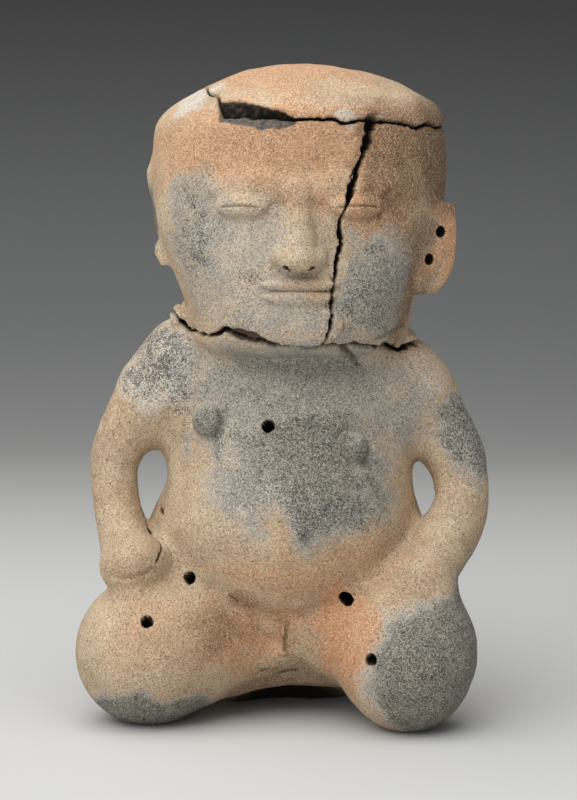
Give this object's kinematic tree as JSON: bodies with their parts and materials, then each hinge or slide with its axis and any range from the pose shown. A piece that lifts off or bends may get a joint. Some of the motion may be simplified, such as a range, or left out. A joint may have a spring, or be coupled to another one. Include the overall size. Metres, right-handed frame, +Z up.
{
  "type": "female figure",
  "caption": "Squat hollow-built clay figure of a kneeling woman, hands on hips, with a drum-shaped head, broken and mended.",
  "frame": {"origin": "centre of the bounding box's underside, on the surface that the knees and seat rest on", "axes": "+Z up through the head; the figure faces -Y; +X to the viewer's right, the figure's left hand"},
  "size_m": [0.1652, 0.1159, 0.26],
  "materials": {
    "earthenware": "unglazed, sandy and matt, buff with orange and grey fire clouds"
  },
  "bodies": {
    "root": {"figure": "earthenware"}
  },
  "joints": []
}
